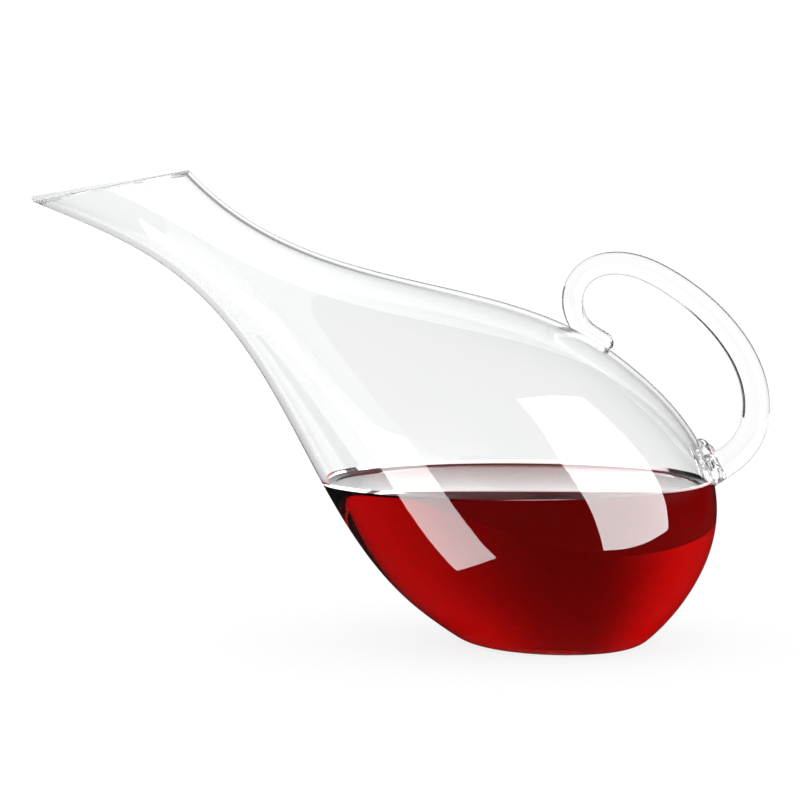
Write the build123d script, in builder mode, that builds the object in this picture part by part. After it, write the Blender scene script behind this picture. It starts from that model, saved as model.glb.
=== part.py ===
"""Slanted blown-glass wine decanter with a drawn rod handle and the wine in it.

Origin: the centre of the flat foot, on the surface that the decanter stands on.
Axes: +Z up, +X towards the handle, -X towards the spout. The decanter is symmetrical about XZ.
The blown wall is one piece of glass. It is written as three zones that meet face to face.
"""

from build123d import *
import math
import os

# Bulb and neck: one surface of revolution about a straight axis that leans back from the foot
lean = 37.6  # angle of the axis above the horizontal, degrees
end_x, end_z = 51.0, 15.1  # the round end of the bulb, on the axis
wall = 2.3
# Outer profile, as curves between control points of distance from the round end and radius
bulb_curve = [(0, 0), (0, 60.5), (50, 67), (82.5, 67)]
neck_curve = [(82.5, 67), (141, 67), (187, 17.8), (250, 17.8)]
spout_curve = [(250, 17.8), (273, 17.8), (292.5, 24.3), (322, 32)]
spout_end = (334, 35.1)  # past the slanted cut
# Where the wall's zones meet, as distances from the round end
shoulder_start = 76.0
neck_start = 187.0

# Spout: cut slantwise by a plane through the tip of its lip
lip_x, lip_z = -216.6, 183.4
lip_rise = 11.2  # rise of the cut towards the handle, degrees
lip_round = 0.9
overshoot = 3.0  # how far the hollow is cut past the mouth

# Foot: the low side of the bulb pressed flat, with a shallow punt
base = 4.0  # glass under the wine
foot_round = 9.0
floor_round = 8.0
punt_radius = 23.0
punt_height = 5.5
kick_radius = 26.0  # rise of the floor over the punt, on the wine side
kick_height = 5.0

# Wine
wine_level = 66.0

# Handle: a rod drawn thinner from its root to its tail
handle_line = [(11.5, 125.0), (7.6, 135.5), (6.9, 144.6), (12.6, 154.3), (24.9, 157.5), (46.7, 149.8)]
handle_line += [(69.3, 130.7), (83.7, 102.9), (78.6, 82.4), (69.0, 74.6), (57.0, 69.0)]
tail_radius = 4.15
root_radius = 6.1
root_flare = 2.2  # extra radius where the root spreads into its seal
flare_start = 0.9  # share of the rod's length at which the spread begins
rod_sections = 15

# Seal of the root: an oval pad welded to the bulb, pinched into four ridges
seal_x, seal_z = 64.0, 75.2
seal_tilt = 23.5  # angle of the pad's outward direction above the horizontal, degrees
seal_height = 22.0
seal_width = 27.0
seal_proud = 1.7
seal_round = 1.4
ridge_length = 8.4
ridge_width = 3.6
ridge_proud = 2.9
ridge_round = 1.0
ridge_spacing = 18.0  # across the pad
ridge_pitch = 9.6  # along the pad
sink = 5.0  # depth that the pads are made into the bulb before they are cut to its surface

# Seal of the tail: the end of the rod folded over and pressed along the bulb
tail_x, tail_z = 13.6, 127.2
tail_tilt = 59.0
tail_length = 25.0
tail_width = 8.6
tail_proud = 4.8
tail_round = 2.2


def in_axes(x, z, tilt):
    """A plane square to the XZ symmetry plane, whose outward direction is tilted above +X."""
    outward = (math.cos(math.radians(tilt)), 0, math.sin(math.radians(tilt)))
    return Plane(origin=(x, 0, z), x_dir=(0, 1, 0), z_dir=outward)


def dome(radius, height, foot_z):
    """A shallow dome that stands on the level foot_z, with a root below it to cut with."""
    with BuildPart() as cap:
        with BuildSketch(Plane.XZ):
            with BuildLine():
                TangentArc((0, foot_z + height), (radius, foot_z), tangent=(1, 0))
                Polyline((radius, foot_z), (radius, foot_z - sink), (0, foot_z - sink), (0, foot_z + height))
            make_face()
        revolve(axis=Axis.Z)
    return cap.part


toward_mouth = Vector(-math.cos(math.radians(lean)), 0, math.sin(math.radians(lean)))
bulb_axis = Axis((end_x, 0, end_z), toward_mouth)
profile_plane = Plane(origin=(end_x, 0, end_z), x_dir=toward_mouth, z_dir=(0, 1, 0))
mouth_plane = Plane(
    origin=(lip_x, 0, lip_z),
    x_dir=(math.cos(math.radians(lip_rise)), 0, math.sin(math.radians(lip_rise))),
    z_dir=(-math.sin(math.radians(lip_rise)), 0, math.cos(math.radians(lip_rise))),
)


def vessel(inset, floor_z, corner, mouth):
    """The solid of revolution inset from the outer profile, with a flat floor and a slanted mouth."""
    with BuildPart() as solid:
        with BuildSketch(profile_plane):
            with BuildLine():
                Bezier(*[(max(u, inset), max(r - inset, 0)) for u, r in bulb_curve])
                Bezier(*[(u, r - inset) for u, r in neck_curve])
                Bezier(*[(u, r - inset) for u, r in spout_curve])
                far_u, far_r = spout_end
                Line((spout_curve[-1][0], spout_curve[-1][1] - inset), (far_u, far_r - inset))
                Polyline((far_u, far_r - inset), (far_u, 0), (inset, 0))
            make_face()
        revolve(axis=bulb_axis)
        split(bisect_by=Plane.XY.offset(floor_z), keep=Keep.TOP)
        fillet(solid.faces().sort_by(Axis.Z)[0].edges(), radius=corner)
        split(bisect_by=mouth_plane.offset(mouth), keep=Keep.BOTTOM)
    return solid.part


outside = vessel(0, 0, foot_round, 0)
inside = vessel(wall, base, floor_round, overshoot) - dome(kick_radius, kick_height, base)

with BuildPart() as blown_wall:
    add(outside)
    add(inside, mode=Mode.SUBTRACT)
    add(dome(punt_radius, punt_height, 0), mode=Mode.SUBTRACT)
    rim = blown_wall.faces().filter_by(mouth_plane).sort_by(Axis.Z)[-1]
    fillet(rim.edges(), radius=lip_round)

shoulder_plane = Plane(origin=bulb_axis.position + toward_mouth * shoulder_start, z_dir=toward_mouth)
neck_plane = Plane(origin=bulb_axis.position + toward_mouth * neck_start, z_dir=toward_mouth)

with BuildPart() as bulb_zone:
    add(blown_wall.part)
    split(bisect_by=shoulder_plane, keep=Keep.BOTTOM)
bulb_zone.part.label = "bulb"

with BuildPart() as shoulder_zone:
    add(blown_wall.part)
    split(bisect_by=shoulder_plane, keep=Keep.TOP)
    split(bisect_by=neck_plane, keep=Keep.BOTTOM)
shoulder_zone.part.label = "shoulder"

with BuildPart() as neck_zone:
    add(blown_wall.part)
    split(bisect_by=neck_plane, keep=Keep.TOP)
neck_zone.part.label = "neck"

with BuildPart() as wine:
    add(inside)
    split(bisect_by=Plane.XY.offset(wine_level), keep=Keep.BOTTOM)
wine.part.label = "wine"

seal_plane = in_axes(seal_x, seal_z, seal_tilt)
with BuildPart() as handle_root_seal:
    with BuildSketch(seal_plane.offset(-sink)):
        Ellipse(seal_width / 2, seal_height / 2)
    extrude(amount=sink + seal_proud)
    fillet(handle_root_seal.faces().sort_by(Axis(seal_plane.origin, seal_plane.z_dir))[-1].edges(), radius=seal_round)
    with BuildSketch(seal_plane.offset(-sink)):
        with GridLocations(ridge_spacing, ridge_pitch, 2, 2):
            SlotOverall(ridge_length, ridge_width, rotation=90)
    extrude(amount=sink + ridge_proud)
    ridge_tops = handle_root_seal.faces().group_by(Axis(seal_plane.origin, seal_plane.z_dir))[-1]
    fillet(ridge_tops.edges(), radius=ridge_round)
    add(outside, mode=Mode.SUBTRACT)
handle_root_seal.part.label = "handle_root_seal"

tail_plane = in_axes(tail_x, tail_z, tail_tilt)
with BuildPart() as handle_tail_seal:
    with BuildSketch(tail_plane.offset(-sink)):
        SlotOverall(tail_length, tail_width, rotation=90)
    extrude(amount=sink + tail_proud)
    fillet(handle_tail_seal.faces().sort_by(Axis(tail_plane.origin, tail_plane.z_dir))[-1].edges(), radius=tail_round)
    add(outside, mode=Mode.SUBTRACT)
handle_tail_seal.part.label = "handle_tail_seal"

rod_line = Spline(*[(x, 0, z) for x, z in handle_line])
with BuildPart() as handle:
    for section in range(rod_sections):
        share = section / (rod_sections - 1)
        spread = max(0, share - flare_start) / (1 - flare_start)
        radius = tail_radius + (root_radius - tail_radius) * share + root_flare * spread**2
        with BuildSketch(Plane(origin=rod_line @ share, x_dir=(0, 1, 0), z_dir=rod_line % share)):
            Circle(radius)
    loft()
    add(outside, mode=Mode.SUBTRACT)
    add(handle_root_seal.part, mode=Mode.SUBTRACT)
    add(handle_tail_seal.part, mode=Mode.SUBTRACT)
handle.part.label = "handle"

os.makedirs("parts", exist_ok=True)
for piece in (bulb_zone, shoulder_zone, neck_zone, handle, handle_root_seal, handle_tail_seal, wine):
    export_step(piece.part, f"parts/{piece.part.label}.step")
print("wine", round(wine.part.volume / 1000), "ml")
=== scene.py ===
"""A slanted blown-glass wine decanter with a drawn rod handle and red wine in it."""

import math

import bmesh
import bpy
import numpy as np
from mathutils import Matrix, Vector


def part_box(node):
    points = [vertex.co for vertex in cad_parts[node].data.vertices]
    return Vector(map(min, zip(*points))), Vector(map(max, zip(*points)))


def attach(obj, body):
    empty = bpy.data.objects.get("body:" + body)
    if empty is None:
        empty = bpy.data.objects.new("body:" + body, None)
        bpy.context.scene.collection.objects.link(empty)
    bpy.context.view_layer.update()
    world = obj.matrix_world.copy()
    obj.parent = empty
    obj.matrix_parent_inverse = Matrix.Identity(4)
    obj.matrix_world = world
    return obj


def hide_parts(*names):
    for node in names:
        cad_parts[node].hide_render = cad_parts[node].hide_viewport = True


bl_info = {
    "name": "Wine decanter",
    "version": (1, 0, 0),
    "blender": (4, 5, 0),
    "location": "View3D > Sidebar > Decanter",
    "description": "Models a slanted glass wine decanter, its rod handle and its wine",
    "category": "Add Mesh",
}

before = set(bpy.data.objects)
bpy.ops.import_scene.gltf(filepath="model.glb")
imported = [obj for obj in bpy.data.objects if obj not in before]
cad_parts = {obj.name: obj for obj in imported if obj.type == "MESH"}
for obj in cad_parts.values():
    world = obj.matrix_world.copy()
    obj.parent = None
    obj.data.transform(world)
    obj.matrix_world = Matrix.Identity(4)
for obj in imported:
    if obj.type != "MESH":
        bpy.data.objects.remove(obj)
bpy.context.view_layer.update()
wine_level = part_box("wine")[1][2]

SIZES = "decanter_sizes"
LOOKS = "decanter_looks"
STAGE = "decanter_stage"

# The outline of the blown body: arcs between control points, each a distance from the round end
# along the leaning axis and a radius, in metres
BULB_ARC = ((0, 0), (0, 0.0605), (0.050, 0.067), (0.0825, 0.067))
NECK_ARC = ((0.0825, 0.067), (0.141, 0.067), (0.187, 0.0178), (0.250, 0.0178))
SPOUT_ARC = ((0.250, 0.0178), (0.273, 0.0178), (0.2925, 0.0243), (0.322, 0.032))
ARCS = (BULB_ARC, NECK_ARC, SPOUT_ARC)
SPOUT_START = 0.232  # where the spout's rings begin to lean over to the slanted mouth
FOOT_REACH = 0.02  # height under which the skin belongs to the foot
THICK_TOP = 0.004  # height up to which the glass keeps the foot's thickness
THICK_FADE = 0.012  # height over which it thins from there to the wall
LIP_ROUND = 0.42  # width of the lip's bevel, as a share of the wall
LIP_DEPTH = 0.45  # depth of the lip painted pale as a highlight, as a share of the wall

# The rod's line from the tip of its tail to its root, as X and Z, in metres
ROD_LINE = (
    (0.0235, 0.1228), (0.0168, 0.1266), (0.0107, 0.1310), (0.0074, 0.1372), (0.0069, 0.1452),
    (0.0125, 0.1540), (0.0249, 0.1576), (0.0467, 0.1499), (0.0693, 0.1307), (0.0826, 0.1040),
    (0.0800, 0.0845), (0.0705, 0.0748), (0.0600, 0.0700),
)
ROD_SAMPLES = 260
TAIL_ROUND = 0.02  # share of the rod's length over which its tail closes
FLARE_START = 0.93  # share of the rod's length at which its root begins to spread
ROOT_FLARE = 0.0022  # extra radius at the end of the root
SINK = 0.0002  # depth at which the rod and the seal lie under the body's surface

# The root's seal, each size outwards, across and upwards along the pad, in metres
PAD_SIZE = (0.0025, 0.0125, 0.0100)
LOBE_SIZE = (0.0034, 0.0015, 0.0043)
LOBE_PROUD = 0.0006
MELT_SIZE = 0.0004  # size of the voxels that melt the lobes into the pad

# The wine's edge: widths of its rings from the glass inwards, and how fast its height falls off
CLIMB_STEPS = (0.0002, 0.0003, 0.0004, 0.0006, 0.0009, 0.0013)
CLIMB_REACH = 0.0011
STEEP = 0.70  # upward part of a ring's normal under which it counts as steep
HAIR = 1e-5  # allowance when heights are compared

# Corners of the soft boxes and of the flag, as azimuth and elevation in degrees: top left, top right,
# bottom right, bottom left
LEFT_BOX = ((-70, -6), (-46, 5), (-27, -42), (-67, -52))
RIGHT_BOX = ((18, 54), (79, 52), (78, -6), (31, -20))
RIGHT_FLAG = ((107, 38), (127, 38), (127, -9), (107, -9))


class DecanterSizes(bpy.types.PropertyGroup):
    """Sizes of the glass and of the wine."""

    lean: bpy.props.FloatProperty(
        name="Lean", description="Angle of the body's axis above the level",
        default=math.radians(37.6), subtype="ANGLE")
    end_x: bpy.props.FloatProperty(
        name="End X", description="Place of the round end, along X", default=0.0510, subtype="DISTANCE")
    end_z: bpy.props.FloatProperty(
        name="End Z", description="Height of the round end", default=0.0151, subtype="DISTANCE")
    wall: bpy.props.FloatProperty(
        name="Wall", description="Thickness of the blown wall", default=0.0023, subtype="DISTANCE")
    base: bpy.props.FloatProperty(
        name="Base", description="Thickness of the glass in the foot",
        default=0.0030, subtype="DISTANCE")
    mouth_rise: bpy.props.FloatProperty(
        name="Mouth rise", description="Angle of the slanted mouth above the level",
        default=math.radians(11.2), subtype="ANGLE")
    lip_x: bpy.props.FloatProperty(
        name="Lip X", description="Tip of the pouring lip, along X", default=-0.2166, subtype="DISTANCE")
    lip_z: bpy.props.FloatProperty(
        name="Lip Z", description="Height of the pouring lip", default=0.1834, subtype="DISTANCE")
    foot_blend: bpy.props.FloatProperty(
        name="Foot blend", description="Height over which the foot rounds into the bulb",
        default=0.0030, subtype="DISTANCE")
    punt_radius: bpy.props.FloatProperty(
        name="Punt radius", description="Radius of the hollow under the foot",
        default=0.0240, subtype="DISTANCE")
    punt_height: bpy.props.FloatProperty(
        name="Punt height", description="Height of the hollow under the foot",
        default=0.0055, subtype="DISTANCE")
    rings: bpy.props.IntProperty(
        name="Rings", description="Rings of faces along each arc of the body", default=60)
    turns: bpy.props.IntProperty(name="Turns", description="Faces round the body", default=160)
    tail_radius: bpy.props.FloatProperty(
        name="Tail radius", description="Radius of the rod at its tail",
        default=0.00405, subtype="DISTANCE")
    root_radius: bpy.props.FloatProperty(
        name="Root radius", description="Radius of the rod at its root",
        default=0.0062, subtype="DISTANCE")
    seal_x: bpy.props.FloatProperty(
        name="Seal X", description="Middle of the root's seal, along X",
        default=0.0632, subtype="DISTANCE")
    seal_z: bpy.props.FloatProperty(
        name="Seal Z", description="Height of the middle of the root's seal", default=0.0752,
        subtype="DISTANCE")
    seal_tilt: bpy.props.FloatProperty(
        name="Seal tilt", description="Angle of the seal's outward direction above the level",
        default=math.radians(23.5), subtype="ANGLE")
    lobe_across: bpy.props.FloatProperty(
        name="Lobe offset", description="From the middle of the seal to its pinched lobes",
        default=0.0104, subtype="DISTANCE")
    lobe_pitch: bpy.props.FloatProperty(
        name="Lobe pitch", description="From one lobe to the next along the seal", default=0.0092,
        subtype="DISTANCE")
    lobe_turn: bpy.props.FloatProperty(
        name="Lobe turn", description="Turn of the lobes out of the seal's length",
        default=math.radians(6), subtype="ANGLE")
    wine_climb: bpy.props.FloatProperty(
        name="Wine climb", description="Height that the wine climbs up the glass",
        default=0.0026, subtype="DISTANCE")
    overlap: bpy.props.FloatProperty(
        name="Overlap",
        description="Depth that the wine's skin lies inside the glass, so no air is between",
        default=0.00015, subtype="DISTANCE")


class DecanterLooks(bpy.types.PropertyGroup):
    """Colours and finishes."""

    glass_tint: bpy.props.FloatVectorProperty(
        name="Glass tint", description="Colour of light that the glass lets through",
        default=(0.985, 0.99, 0.99), subtype="COLOR", size=3)
    glass_ior: bpy.props.FloatProperty(
        name="Glass index", description="Refraction of the glass", default=1.5)
    wine_ior: bpy.props.FloatProperty(
        name="Wine index", description="Refraction of the wine", default=1.34)
    wine_depth: bpy.props.FloatProperty(
        name="Wine depth", description="How strongly the wine drinks light, per metre", default=290.0)
    wine_red: bpy.props.FloatProperty(
        name="Wine red", description="Share of red that the wine spares", default=0.934)


class DecanterStage(bpy.types.PropertyGroup):
    """The floor, the lights and the camera."""

    camera_away: bpy.props.FloatProperty(
        name="Camera distance", description="From the middle plane of the decanter",
        default=1.10, subtype="DISTANCE")
    camera_height: bpy.props.FloatProperty(
        name="Camera height", description="Above the floor", default=0.200, subtype="DISTANCE")
    view_width: bpy.props.FloatProperty(
        name="View width", description="Width of the view at the decanter",
        default=0.332, subtype="DISTANCE")
    aim_x: bpy.props.FloatProperty(
        name="Aim X", description="Where the camera looks, along X", default=-0.0647, subtype="DISTANCE")
    aim_z: bpy.props.FloatProperty(
        name="Aim Z", description="Height that the camera looks at", default=0.1008, subtype="DISTANCE")
    backdrop: bpy.props.FloatProperty(
        name="Backdrop", description="Brightness of the room where it is seen and seen through",
        default=1.17)
    room: bpy.props.FloatProperty(
        name="Room", description="Brightness of the room where it is mirrored, beside the soft boxes",
        default=0.012)
    ceiling: bpy.props.FloatProperty(
        name="Ceiling", description="Brightness of the room above, where it is mirrored", default=0.30)
    inner: bpy.props.FloatProperty(
        name="Inner", description="Brightness, beside the backdrop, of what is mirrored inside the glass",
        default=0.30)
    window: bpy.props.FloatProperty(
        name="Window",
        description="Brightness straight behind of what is mirrored inside the glass",
        default=1.5)
    left_gain: bpy.props.FloatProperty(
        name="Left gain", description="Extra brightness of the room's left side behind the wine",
        default=2.6)
    right_gain: bpy.props.FloatProperty(
        name="Right gain", description="Extra brightness of the room's right side behind the wine",
        default=1.7)
    side_start: bpy.props.FloatProperty(
        name="Side start", description="How far sideways the extra brightness begins, from 0 to 1",
        default=0.04)
    side_end: bpy.props.FloatProperty(
        name="Side end", description="How far sideways the extra brightness is full, from 0 to 1",
        default=0.40)
    floor_glow: bpy.props.FloatProperty(
        name="Floor glow", description="Light that the floor gives of its own", default=0.83)
    floor_side: bpy.props.FloatProperty(
        name="Floor side", description="Side of the floor", default=12.0, subtype="DISTANCE")
    lamp_away: bpy.props.FloatProperty(
        name="Lamp distance", description="From the decanter to each soft box", default=1.5,
        subtype="DISTANCE")
    flag_away: bpy.props.FloatProperty(
        name="Flag distance", description="From the decanter to the black flag", default=0.45,
        subtype="DISTANCE")


def sizes():
    return getattr(bpy.context.scene, SIZES)


def looks():
    return getattr(bpy.context.scene, LOOKS)


def stage():
    return getattr(bpy.context.scene, STAGE)


# Modelling helpers


def clear_selection():
    """Leaves edit mode with nothing selected and nothing active."""
    if bpy.context.object and bpy.context.object.mode != "OBJECT":
        bpy.ops.object.mode_set(mode="OBJECT")
    bpy.ops.object.select_all(action="DESELECT")
    bpy.context.view_layer.objects.active = None


def take(piece):
    """Makes a piece the only selected one and the active one."""
    clear_selection()
    piece.select_set(True)
    bpy.context.view_layer.objects.active = piece


def edit(piece, mode="VERT"):
    """Opens a piece in edit mode with nothing in it selected."""
    take(piece)
    bpy.ops.object.mode_set(mode="EDIT")
    bpy.ops.mesh.select_mode(type=mode)
    bpy.ops.mesh.select_all(action="DESELECT")


def leave_edit():
    bpy.ops.object.mode_set(mode="OBJECT")


def points_of(piece):
    return np.array([v.co for v in piece.data.vertices])


def put_points(piece, points):
    piece.data.vertices.foreach_set("co", np.asarray(points, dtype=np.float32).ravel())
    piece.data.update()


def arc_points(arc, count):
    """Points along a cubic arc."""
    t = np.linspace(0, 1, count)[:, None]
    a, b, c, d = (np.array(p, float) for p in arc)
    return (1 - t) ** 3 * a + 3 * (1 - t) ** 2 * t * b + 3 * (1 - t) * t**2 * c + t**3 * d


def smooth_through(points, count):
    """A smooth curve through points, as a natural cubic spline by length, sampled evenly."""
    points = np.array(points, float)
    along = np.r_[0, np.cumsum(np.linalg.norm(np.diff(points, axis=0), axis=1))]
    gap = np.diff(along)
    size = len(points)
    matrix = np.eye(size)
    right = np.zeros_like(points)
    for i in range(1, size - 1):
        matrix[i, i - 1 : i + 2] = gap[i - 1], 2 * (gap[i - 1] + gap[i]), gap[i]
        right[i] = 6 * ((points[i + 1] - points[i]) / gap[i] - (points[i] - points[i - 1]) / gap[i - 1])
    bend = np.linalg.solve(matrix, right)
    at = np.linspace(0, along[-1], count)
    i = np.clip(np.searchsorted(along, at, side="right") - 1, 0, size - 2)
    h = gap[i][:, None]
    left = (along[i + 1] - at)[:, None] / h
    rest = 1 - left
    return (
        left * points[i] + rest * points[i + 1]
        + ((left**3 - left) * bend[i] + (rest**3 - rest) * bend[i + 1]) * h**2 / 6
    )


# The body's leaning axis: a point is a distance u from the round end, and an offset from the axis


def body_axis():
    s = sizes()
    end = np.array([s.end_x, 0, s.end_z])
    along = np.array([-math.cos(s.lean), 0, math.sin(s.lean)])
    up = np.array([math.sin(s.lean), 0, math.cos(s.lean)])
    return end, along, up


def outline():
    first, *others = (arc_points(arc, 400) for arc in ARCS)
    return np.vstack([first, *(points[1:] for points in others)])


def radius_at(u):
    line = outline()
    return np.interp(u, line[:, 0], line[:, 1])


def to_axis(points):
    """Each point's distance along the axis, its distance from it, and its unit offset from it."""
    end, along, _ = body_axis()
    rel = points - end
    u = rel @ along
    off = rel - u[:, None] * along
    r = np.linalg.norm(off, axis=1)
    return u, r, off / np.maximum(r, 1e-9)[:, None]


def smooth_max(a, b, blend):
    """The larger of two values, rounded over where they cross."""
    h = np.maximum(blend - np.abs(a - b), 0) / blend
    return np.maximum(a, b) + h * h * blend / 4


def mouth_plane():
    """A point of the slanted mouth, and the direction square to it."""
    s = sizes()
    normal = np.array([-math.sin(s.mouth_rise), 0, math.cos(s.mouth_rise)])
    return np.array([s.lip_x, 0, s.lip_z]), normal


def mouth_u(direction):
    """The distance along the axis at which a line of the wall in this direction meets the mouth."""
    end, along, _ = body_axis()
    lip, normal = mouth_plane()
    low = np.full(len(direction), SPOUT_START)
    high = np.full(len(direction), SPOUT_ARC[-1][0])
    for _ in range(30):
        middle = (low + high) / 2
        at = end + middle[:, None] * along + radius_at(middle)[:, None] * direction
        over = (at - lip) @ normal > 0
        high = np.where(over, middle, high)
        low = np.where(over, low, middle)
    return (low + high) / 2


def spin_outline(name):
    """The outline drawn as a curve and spun round the leaning axis into a surface open at the mouth."""
    s = sizes()
    end, along, up = body_axis()

    def place(point):
        return Vector(end + point[0] * along + point[1] * up)

    clear_selection()
    bpy.ops.curve.primitive_bezier_curve_add(location=(0, 0, 0))
    drawn = bpy.context.object
    drawn.name = name
    drawn.data.resolution_u = s.rings
    spline = drawn.data.splines[0]
    spline.bezier_points.add(2)
    for point in spline.bezier_points:
        point.handle_left_type = "FREE"
        point.handle_right_type = "FREE"
    for i, arc in enumerate(ARCS):
        spline.bezier_points[i].co = place(arc[0])
        spline.bezier_points[i].handle_right = place(arc[1])
        spline.bezier_points[i + 1].handle_left = place(arc[2])
        spline.bezier_points[i + 1].co = place(arc[3])
    spline.bezier_points[0].handle_left = place(BULB_ARC[0])
    spline.bezier_points[-1].handle_right = place(SPOUT_ARC[3])
    take(drawn)
    bpy.ops.object.convert(target="MESH")
    piece = bpy.context.object
    edit(piece)
    bpy.ops.mesh.select_all(action="SELECT")
    bpy.ops.mesh.spin(steps=s.turns, angle=2 * math.pi, center=end, axis=along)
    bpy.ops.mesh.select_all(action="SELECT")
    bpy.ops.mesh.remove_doubles(threshold=1e-6)
    bpy.ops.mesh.normals_make_consistent(inside=False)
    leave_edit()
    centres = np.array([face.center for face in piece.data.polygons])
    normals = np.array([face.normal for face in piece.data.polygons])
    if np.sum(normals * to_axis(centres)[2]) < 0:
        edit(piece)
        bpy.ops.mesh.select_all(action="SELECT")
        bpy.ops.mesh.flip_normals()
        leave_edit()
    return piece


def slant_mouth(piece):
    """Leans the spout's rings over, little by little, until the last lies in the mouth's plane."""
    end, along, _ = body_axis()
    points = points_of(piece)
    u, _, direction = to_axis(points)
    share = np.clip((u - SPOUT_START) / (SPOUT_ARC[-1][0] - SPOUT_START), 0, None)
    moved = SPOUT_START + share * (mouth_u(direction) - SPOUT_START)
    new = end + moved[:, None] * along + radius_at(moved)[:, None] * direction
    points[share > 0] = new[share > 0]
    put_points(piece, points)


def press_foot(piece):
    """Presses the low side flat on the floor and pushes the punt up into it."""
    s = sizes()
    points = points_of(piece)
    reach = np.hypot(points[:, 0], points[:, 1])
    z = smooth_max(points[:, 2], np.zeros(len(points)), s.foot_blend)
    low = points[:, 2] < FOOT_REACH
    share = np.clip(1 - (reach / s.punt_radius) ** 2, 0, 1)
    z += np.where(low, s.punt_height * share**1.5 * (2.5 - 1.5 * share), 0)
    points[:, 2] = z
    put_points(piece, points)


def outer_skin(name):
    piece = spin_outline(name)
    slant_mouth(piece)
    press_foot(piece)
    return piece


def thickness_group(piece):
    """Weights that make the wall thin and the foot thick."""
    s = sizes()
    group = piece.vertex_groups.new(name="thickness")
    points = points_of(piece)
    thin = s.wall / s.base
    fade = np.clip((points[:, 2] - THICK_TOP) / THICK_FADE, 0, 1)
    fade = fade * fade * (3 - 2 * fade)
    for i, weight in enumerate(1 + (thin - 1) * fade):
        group.add([i], float(weight), "REPLACE")
    return group


def give_wall(piece, thickness, rim):
    """Gives the skin its wall, inwards."""
    group = thickness_group(piece)
    take(piece)
    solid = piece.modifiers.new("wall", "SOLIDIFY")
    solid.thickness = thickness
    solid.offset = -1
    solid.use_even_offset = False
    solid.vertex_group = group.name
    solid.use_rim = rim
    bpy.ops.object.modifier_apply(modifier=solid.name)
    piece.vertex_groups.clear()


def contact_level():
    return wine_level + sizes().wine_climb


def cut_at_wine(piece):
    """Cuts an edge loop into the inner face of the wall where the wine ends."""
    edit(piece, "FACE")
    mesh = bmesh.from_edit_mesh(piece.data)
    for face in mesh.faces:
        if face.material_index == 1:
            face.select = True
    bmesh.update_edit_mesh(piece.data)
    bpy.ops.mesh.bisect(plane_co=(0, 0, contact_level()), plane_no=(0, 0, 1))
    leave_edit()


def mark_wetted(piece, skin):
    """Gives the inner face of the wall, below the wine's edge, the second material."""
    for face in piece.data.polygons[skin : 2 * skin]:
        face.material_index = 1
    cut_at_wine(piece)
    for face in piece.data.polygons:
        if face.material_index == 1 and face.center.z > contact_level():
            face.material_index = 0


def round_rim(piece):
    """Fire-polishes the mouth: its two sharp edges are rounded over, and the faces at the mouth get the
    lip painted pale as a highlight.
    """
    s = sizes()
    edit(piece, "EDGE")
    bpy.ops.mesh.edges_select_sharp(sharpness=math.radians(60))
    bpy.ops.mesh.bevel(offset=s.wall * LIP_ROUND, segments=4, affect="EDGES")
    leave_edit()
    lip, normal = mouth_plane()
    # Faces near the mouth take the third material, the lip painted pale as a highlight.
    for face in piece.data.polygons:
        if (np.array(face.center) - lip) @ normal > -s.wall * LIP_DEPTH:
            face.material_index = 2


def finish_piece(piece, slot, *nodes):
    """Shades a piece smooth and ties it to the frame."""
    take(piece)
    bpy.ops.object.shade_smooth()
    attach(piece, "root")
    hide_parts(*nodes)


# Materials


class Value:
    """A shader value that can be used in plain arithmetic."""

    def __init__(self, paint, socket):
        self.paint, self.socket = paint, socket

    def _join(self, operation, first, second):
        return self.paint.node("ShaderNodeMath", {"operation": operation}, {0: first, 1: second})

    def __add__(self, other):
        return self._join("ADD", self, other)

    def __radd__(self, other):
        return self._join("ADD", other, self)

    def __sub__(self, other):
        return self._join("SUBTRACT", self, other)

    def __rsub__(self, other):
        return self._join("SUBTRACT", other, self)

    def __mul__(self, other):
        return self._join("MULTIPLY", self, other)

    def over(self, other):
        return self._join("GREATER_THAN", self, other)

    def smooth(self, low, high):
        """0 below low, 1 above high, and a smooth step between."""
        return self.paint.node(
            "ShaderNodeMapRange", {"interpolation_type": "SMOOTHSTEP"},
            {"Value": self, "From Min": low, "From Max": high})


class Paint:
    """A node tree, built by code: a material's, or the world's."""

    def __init__(self, owner):
        owner.use_nodes = True
        self.owner, self.tree = owner, owner.node_tree
        self.tree.nodes.clear()

    def node(self, kind, settings=None, inputs=None, output=0):
        made = self.tree.nodes.new(kind)
        for key, value in (settings or {}).items():
            setattr(made, key, value)
        for key, value in (inputs or {}).items():
            if isinstance(value, Value):
                self.tree.links.new(value.socket, made.inputs[key])
            else:
                made.inputs[key].default_value = value
        return Value(self, made.outputs[output]) if made.outputs else None

    def axes(self, vector):
        """The X, Y and Z parts of a vector."""
        parts = self.node("ShaderNodeSeparateXYZ", {}, {0: vector}).socket.node
        return [Value(self, parts.outputs[axis]) for axis in "XYZ"]

    def noise(self, scale, detail):
        place = self.node("ShaderNodeTexCoord", output="Object")
        return self.node("ShaderNodeTexNoise", {}, {"Vector": place, "Scale": scale, "Detail": detail})


def material(name, make):
    """A new material whose surface, and volume if any, come from make."""
    paint = Paint(bpy.data.materials.new(name))
    paint.node("ShaderNodeOutputMaterial", {}, make(paint))
    return paint.owner


def blown_glass(name, ripple_scale, ripple, beyond=1.0):
    """Clear glass with the faint ripple of hand work. Beyond is the index of what its faces touch."""
    k = looks()

    def make(paint):
        wave = paint.noise(ripple_scale, 1.0)
        bump = paint.node("ShaderNodeBump", {}, {"Strength": 1.0, "Distance": ripple, "Height": wave})
        haze = paint.noise(35.0, 3.0) * 0.006
        glass = paint.node("ShaderNodeBsdfPrincipled", {}, {
            "Base Color": (*k.glass_tint, 1.0), "Roughness": haze, "IOR": k.glass_ior / beyond,
            "Transmission Weight": 1.0, "Normal": bump})
        return {"Surface": glass}

    return material(name, make)


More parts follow.
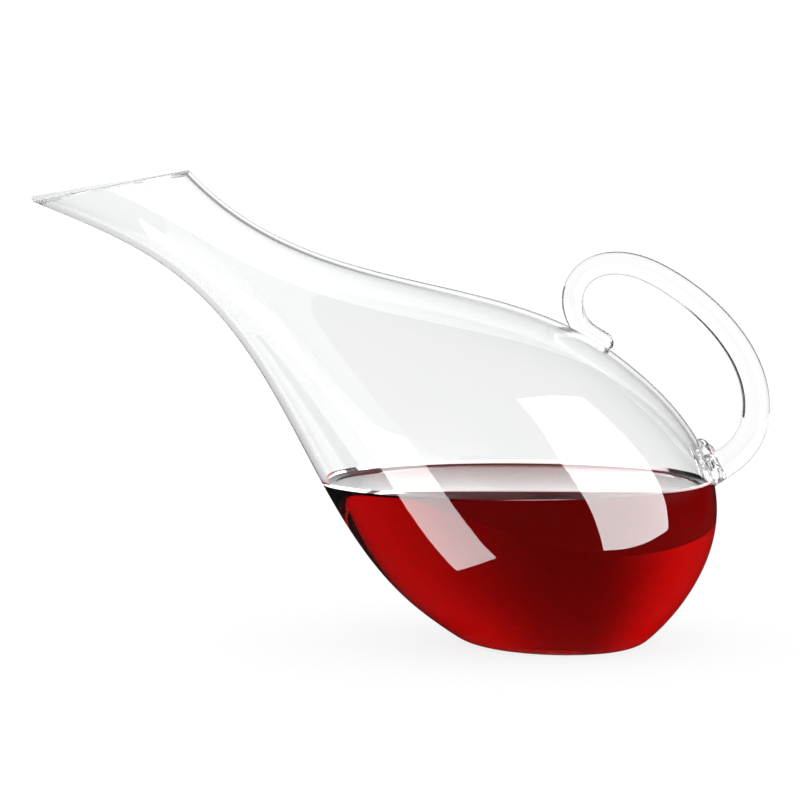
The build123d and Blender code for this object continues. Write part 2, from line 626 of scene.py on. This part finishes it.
def pale_painted_lip(name):
    """The lip, melted round in the flame, painted a pale whitish colour that stands in for the light it
    catches: a painted highlight.
    """
    k = looks()

    def make(paint):
        haze = 0.35 + paint.noise(220.0, 2.0) * 0.2
        return {"Surface": paint.node("ShaderNodeBsdfPrincipled", {}, {
            "Base Color": (0.95, 0.96, 0.96, 1.0), "Roughness": haze, "IOR": k.glass_ior,
            "Transmission Weight": 0.45})}

    return material(name, make)


def red_wine(name, beyond=1.0):
    """Clear red wine, bright where it is thin. Beyond is the index of what it touches."""
    k = looks()

    def make(paint):
        body = paint.node("ShaderNodeBsdfPrincipled", {}, {
            "Base Color": (1.0, 1.0, 1.0, 1.0), "Roughness": 0.0, "IOR": k.wine_ior / beyond,
            "Transmission Weight": 1.0})
        drink = paint.node("ShaderNodeVolumeAbsorption", {}, {
            "Color": (k.wine_red, 0.02, 0.03, 1.0), "Density": k.wine_depth})
        return {"Surface": body, "Volume": drink}

    return material(name, make)


def glow(name, strength):
    def make(paint):
        return {"Surface": paint.node("ShaderNodeEmission", {}, {"Strength": strength})}

    return material(name, make)


# The pieces


class DECANTER_OT_body(bpy.types.Operator):
    """Blow the body: bulb, neck, slanted spout, pressed foot and punt"""

    bl_idname = "decanter.body"
    bl_label = "Blown body"

    def execute(self, context):
        piece = outer_skin("blown_body")
        skin = len(piece.data.polygons)
        give_wall(piece, sizes().base, True)
        dry = blown_glass("clear_blown_glass", 26.0, 0.00004)
        wetted = blown_glass("wetted_glass", 26.0, 0.00004, looks().wine_ior)
        piece.data.materials.append(dry)
        piece.data.materials.append(wetted)
        # The third material is the lip, painted pale as a highlight rather than clear glass.
        piece.data.materials.append(pale_painted_lip("lip_painted_highlight"))
        mark_wetted(piece, skin)
        round_rim(piece)
        finish_piece(piece, "clear_glass", "bulb", "shoulder", "neck")
        return {"FINISHED"}


class DECANTER_OT_handle(bpy.types.Operator):
    """Draw the rod, curl it and press both its ends on the body"""

    bl_idname = "decanter.handle"
    bl_label = "Rod handle"

    def execute(self, context):
        s = sizes()
        line = smooth_through([(x, 0, z) for x, z in ROD_LINE], ROD_SAMPLES)
        clear_selection()
        drawn = bpy.data.curves.new("rod_handle", "CURVE")
        drawn.dimensions = "3D"
        drawn.bevel_depth = 1.0
        drawn.bevel_resolution = 8
        drawn.use_fill_caps = True
        spline = drawn.splines.new("POLY")
        spline.points.add(len(line) - 1)
        share = np.linspace(0, 1, len(line))
        radius = s.tail_radius + (s.root_radius - s.tail_radius) * share
        radius *= np.sqrt(np.clip(share / TAIL_ROUND, 0, 1)) * 0.999 + 0.001
        radius += ROOT_FLARE * np.clip((share - FLARE_START) / (1 - FLARE_START), 0, 1) ** 2
        for point, at, thick in zip(spline.points, line, radius):
            point.co = (*at, 1)
            point.radius = thick
        piece = bpy.data.objects.new("rod_handle", drawn)
        context.collection.objects.link(piece)
        take(piece)
        bpy.ops.object.convert(target="MESH")
        piece = context.object
        edit(piece)
        bpy.ops.mesh.select_all(action="SELECT")
        bpy.ops.mesh.remove_doubles(threshold=1e-6)
        bpy.ops.mesh.normals_make_consistent(inside=False)
        leave_edit()
        lay_on_body(piece)
        piece.data.materials.append(blown_glass("clear_rod_glass", 60.0, 0.00003))
        finish_piece(piece, "rod_glass", "handle", "handle_tail_seal")
        return {"FINISHED"}


def lay_on_body(piece):
    """Pushes what lies inside the body out to a hair under its surface."""
    end, along, _ = body_axis()
    points = points_of(piece)
    u, r, direction = to_axis(points)
    surface = radius_at(u) - SINK
    inside = r < surface
    points[inside] = (end + u[:, None] * along + surface[:, None] * direction)[inside]
    put_points(piece, points)


class DECANTER_OT_seal(bpy.types.Operator):
    """Press the pinched pad that welds the rod's root to the body"""

    bl_idname = "decanter.seal"
    bl_label = "Root seal"

    def blob(self, place, size, turn):
        """A drop of hot glass: outwards, across and upwards along the pad."""
        bpy.ops.mesh.primitive_uv_sphere_add(segments=48, ring_count=24, radius=1.0, location=place)
        drop = bpy.context.object
        drop.scale = size
        drop.rotation_euler = (turn, 0, 0)
        take(drop)
        bpy.ops.object.transform_apply(location=True, rotation=True, scale=True)
        return drop

    def execute(self, context):
        s = sizes()
        out = np.array([math.cos(s.seal_tilt), 0, math.sin(s.seal_tilt)])
        up = np.array([-math.sin(s.seal_tilt), 0, math.cos(s.seal_tilt)])
        centre = np.array([s.seal_x, 0, s.seal_z])
        clear_selection()
        blobs = [self.blob((0, 0, 0), PAD_SIZE, 0)]
        for side in (-1, 1):
            for row in (-1, 1):
                place = (LOBE_PROUD, side * s.lobe_across, row * s.lobe_pitch / 2)
                blobs.append(self.blob(place, LOBE_SIZE, side * s.lobe_turn))
        take(blobs[0])
        for blob in blobs:
            blob.select_set(True)
        bpy.ops.object.join()
        piece = context.object
        piece.name = "root_seal"
        melt = piece.modifiers.new("melt", "REMESH")
        melt.mode = "VOXEL"
        melt.voxel_size = MELT_SIZE
        bpy.ops.object.modifier_apply(modifier=melt.name)
        soften = piece.modifiers.new("soften", "SMOOTH")
        soften.iterations = 3
        bpy.ops.object.modifier_apply(modifier=soften.name)
        points = points_of(piece)
        across = np.array([0, 1, 0])
        points = centre + points[:, :1] * out + points[:, 1:2] * across + points[:, 2:] * up
        put_points(piece, points)
        lay_on_body(piece)
        piece.data.materials.append(blown_glass("clear_seal_glass", 90.0, 0.00003))
        finish_piece(piece, "rod_glass", "handle_root_seal")
        return {"FINISHED"}


class DECANTER_OT_wine(bpy.types.Operator):
    """Fill the bulb with wine, up to its level, with the wine climbing a little at the glass"""

    bl_idname = "decanter.wine"
    bl_label = "Wine"

    def execute(self, context):
        s = sizes()
        piece = outer_skin("wine_fill")
        faces = len(piece.data.polygons)
        give_wall(piece, s.base * (1 - s.overlap / s.wall), False)
        edit(piece, "FACE")
        mesh = bmesh.from_edit_mesh(piece.data)
        mesh.faces.ensure_lookup_table()
        for face in mesh.faces[:faces]:
            face.select = True
        bmesh.update_edit_mesh(piece.data)
        bpy.ops.mesh.delete(type="FACE")
        bpy.ops.mesh.select_all(action="SELECT")
        bpy.ops.mesh.bisect(
            plane_co=(0, 0, contact_level()), plane_no=(0, 0, 1), clear_outer=True, use_fill=True)
        bpy.ops.mesh.select_all(action="SELECT")
        bpy.ops.mesh.normals_make_consistent(inside=False)
        bpy.ops.mesh.select_all(action="DESELECT")
        mesh = bmesh.from_edit_mesh(piece.data)
        for face in mesh.faces:
            if len(face.verts) > 8 and face.normal.z > 0.9:
                face.select = True
        bmesh.update_edit_mesh(piece.data)
        done, height = 0.0, s.wine_climb
        for step in CLIMB_STEPS:
            done += step
            lower = s.wine_climb * math.exp(-done / CLIMB_REACH)
            if step == CLIMB_STEPS[-1]:
                lower = 0.0
            bpy.ops.mesh.inset(thickness=step, depth=-(height - lower))
            height = lower
        leave_edit()
        piece.data.materials.append(red_wine("clear_red_wine"))
        piece.data.materials.append(red_wine("wine_at_glass", looks().wine_ior))
        finish_piece(piece, "red_wine", "wine")
        for face in piece.data.polygons:
            steep = face.center.z > wine_level + HAIR and face.normal.z < STEEP
            if face.center.z < wine_level - HAIR or face.normal.z < 0.2 or steep:
                face.material_index = 1
        take(piece)
        bpy.ops.object.shade_smooth_by_angle(angle=math.radians(50))
        return {"FINISHED"}


# The stage


def card(name, corners, strength):
    """A flat glowing card between four corners, seen only as a reflection."""
    clear_selection()
    bpy.ops.mesh.primitive_plane_add(size=1, location=(0, 0, 0))
    piece = bpy.context.object
    piece.name = name
    put_points(piece, [corners[0], corners[1], corners[3], corners[2]])
    piece.data.materials.append(glow(name + "_glow", strength))
    piece.visible_camera = False
    piece.visible_diffuse = False
    piece.visible_transmission = False
    piece.visible_shadow = False
    return piece


def black_flag(name, towards, away):
    """A black card that only light bent sideways by the glass can meet, so that its edges draw dark."""
    piece = soft_box(name, towards, 0.0, away)
    piece.visible_glossy = False
    piece.visible_transmission = True
    return piece


def direction(azimuth, elevation):
    """A unit vector: azimuth 0 points at the camera and turns towards +X."""
    a, e = math.radians(azimuth), math.radians(elevation)
    return np.array([math.sin(a) * math.cos(e), -math.cos(a) * math.cos(e), math.sin(e)])


def soft_box(name, towards, strength, away):
    """A soft box whose corners lie in four given directions from the decanter."""
    centre = np.array([0, 0, 0.08])
    rays = np.array([direction(*d) for d in towards])
    facing = rays.sum(axis=0)
    facing /= np.linalg.norm(facing)
    corners = centre + rays * (away / (rays @ facing))[:, None]
    return card(name, corners, strength)


def pale_floor():
    t = stage()

    def make(paint):
        return {"Surface": paint.node("ShaderNodeBsdfPrincipled", {}, {
            "Base Color": (0.17, 0.17, 0.17, 1), "Roughness": 0.7, "Specular IOR Level": 0.0,
            "Emission Color": (1, 1, 1, 1), "Emission Strength": t.floor_glow})}

    return material("pale_floor", make)


def light_room():
    """A white room, brighter at its sides behind the wine, and dark where it is mirrored."""
    t = stage()
    world = bpy.data.worlds.new("studio")
    bpy.context.scene.world = world
    paint = Paint(world)
    towards = paint.node("ShaderNodeTexCoord", output="Generated")
    across, back, up = paint.axes(towards)
    deep = paint.node("ShaderNodeLightPath", output="Transmission Depth").over(4.5)
    right = across.smooth(t.side_start, t.side_end) * t.right_gain
    left = (0 - across).smooth(t.side_start, t.side_end) * t.left_gain
    bright = t.backdrop + deep * (right + left)
    turned = paint.node("ShaderNodeLightPath", output="Glossy Depth").over(0.5)
    level = back.smooth(0.86, 0.97)
    bright = bright + turned * (1 - deep) * (t.inner + level * (t.window - t.inner) - bright)
    mirrored = paint.node("ShaderNodeLightPath", output="Is Reflection Ray")
    lit = paint.node("ShaderNodeLightPath", output="Is Diffuse Ray")
    shown = t.room + up.smooth(0.05, 0.35) * (t.ceiling - t.room)
    light = bright + mirrored * (1 - lit) * (shown - bright)
    paint.node("ShaderNodeOutputWorld", {}, {"Surface": paint.node(
        "ShaderNodeBackground", {}, {"Color": (1, 1, 1, 1), "Strength": light})})


class DECANTER_OT_stage(bpy.types.Operator):
    """Lay the pale floor, hang the lights and set up the camera"""

    bl_idname = "decanter.stage"
    bl_label = "Stage"

    def execute(self, context):
        t = stage()
        scene = context.scene
        clear_selection()
        bpy.ops.mesh.primitive_plane_add(size=t.floor_side, location=(0, 0, 0))
        floor = context.object
        floor.name = "floor"
        floor.data.materials.append(pale_floor())
        floor.visible_glossy = False
        soft_box("left_soft_box", LEFT_BOX, 10.0, t.lamp_away)
        soft_box("right_soft_box", RIGHT_BOX, 14.0, t.lamp_away)
        black_flag("right_flag", RIGHT_FLAG, t.flag_away)
        light_room()

        lens = bpy.data.cameras.new("camera")
        camera = bpy.data.objects.new("camera", lens)
        context.collection.objects.link(camera)
        place = Vector((t.aim_x, -t.camera_away, t.camera_height))
        aim = Vector((t.aim_x, 0, t.aim_z))
        camera.location = place
        camera.rotation_euler = (aim - place).to_track_quat("-Z", "Y").to_euler()
        lens.sensor_width = 36.0
        lens.lens = 36.0 * (aim - place).length / t.view_width
        lens.clip_end = 100.0
        scene.camera = camera
        scene.view_settings.view_transform = "Standard"
        scene.cycles.max_bounces = 24
        scene.cycles.transmission_bounces = 24
        scene.cycles.glossy_bounces = 12
        return {"FINISHED"}


class DECANTER_PT_tools(bpy.types.Panel):
    """Buttons and sizes in the 3D view's sidebar"""

    bl_idname = "DECANTER_PT_tools"
    bl_label = "Wine decanter"
    bl_space_type = "VIEW_3D"
    bl_region_type = "UI"
    bl_category = "Decanter"

    def draw(self, context):
        for operator in PIECES:
            self.layout.operator(operator.bl_idname)
        for group in (SIZES, LOOKS, STAGE):
            values = getattr(context.scene, group)
            for key in values.bl_rna.properties.keys():
                if key not in ("rna_type", "name"):
                    self.layout.prop(values, key)


GROUPS = ((SIZES, DecanterSizes), (LOOKS, DecanterLooks), (STAGE, DecanterStage))
PIECES = (DECANTER_OT_body, DECANTER_OT_handle, DECANTER_OT_seal, DECANTER_OT_wine, DECANTER_OT_stage)


def register():
    for name, group in GROUPS:
        bpy.utils.register_class(group)
        setattr(bpy.types.Scene, name, bpy.props.PointerProperty(type=group))
    for made in (*PIECES, DECANTER_PT_tools):
        bpy.utils.register_class(made)


def unregister():
    for made in reversed((*PIECES, DECANTER_PT_tools)):
        bpy.utils.unregister_class(made)
    for name, group in reversed(GROUPS):
        delattr(bpy.types.Scene, name)
        bpy.utils.unregister_class(group)


def main():
    register()
    bpy.ops.decanter.body()
    bpy.ops.decanter.handle()
    bpy.ops.decanter.seal()
    bpy.ops.decanter.wine()
    bpy.ops.decanter.stage()


if __name__ == "__main__":
    main()
